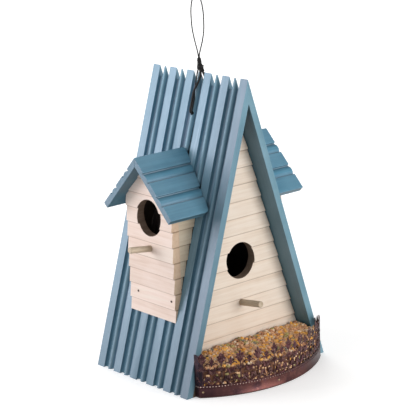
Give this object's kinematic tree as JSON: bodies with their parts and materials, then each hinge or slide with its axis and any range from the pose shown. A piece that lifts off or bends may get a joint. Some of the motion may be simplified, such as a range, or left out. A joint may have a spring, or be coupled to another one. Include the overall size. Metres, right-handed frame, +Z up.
{
  "type": "birdhouse",
  "caption": "A-frame wooden birdhouse with side dormers, round entries, dowel perches, a pierced bow-front seed tray, a swivelling clean-out cover and a cord hanger.",
  "frame": {"origin": "middle of the footprint, on the surface that the house stands on", "axes": "+Z up to the ridge, +X to the right seen from the front, -Y towards the seed tray"},
  "size_m": [0.1966, 0.1802, 0.3774],
  "materials": {
    "blue_paint": "matt paint over milled softwood, grain just visible",
    "cream_paint": "thin cream wash on lap-milled wood",
    "bare_wood": "unpainted board",
    "dowel_wood": "weathered bare dowel",
    "dark_steel": "dark brad heads",
    "copper_strip": "antique copper, satin",
    "copper_filigree": "oxidised copper, dark",
    "brass_pins": "small round heads",
    "seed": "mixed grain, matt",
    "screw_steel": "zinc plated",
    "cord": "black waxed cord"
  },
  "bodies": {
    "house": {"roof_panel_left": "blue_paint", "roof_panel_right": "blue_paint", "front_wall": "cream_paint", "back_wall": "cream_paint", "base_board": "bare_wood", "front_perch": "dowel_wood", "left_dormer_front": "cream_paint", "left_dormer_side_fore": "cream_paint", "left_dormer_side_aft": "cream_paint", "left_dormer_roof_fore": "blue_paint", "left_dormer_roof_aft": "blue_paint", "left_perch": "dowel_wood", "left_dormer_brads": "dark_steel", "right_dormer_front": "cream_paint", "right_dormer_side_fore": "cream_paint", "right_dormer_side_aft": "cream_paint", "right_dormer_roof_fore": "blue_paint", "right_dormer_roof_aft": "blue_paint", "right_perch": "dowel_wood", "right_dormer_brads": "dark_steel", "tray_rim": "copper_strip", "tray_gallery": "copper_filigree", "tray_pins": "brass_pins", "seed_fill": "seed", "cover_screw": "screw_steel", "hanger_sling": "cord", "hanger_knot": "cord", "hanger_loop": "cord"},
    "cover": {"cleanout_cover": "blue_paint"}
  },
  "joints": [
    {"name": "cover_swivel", "type": "hinge", "parent": "house", "child": "cover", "pos_m": [0, 0.0849, 0.074], "axis": [0, 1, 0], "continuous": true}
  ]
}
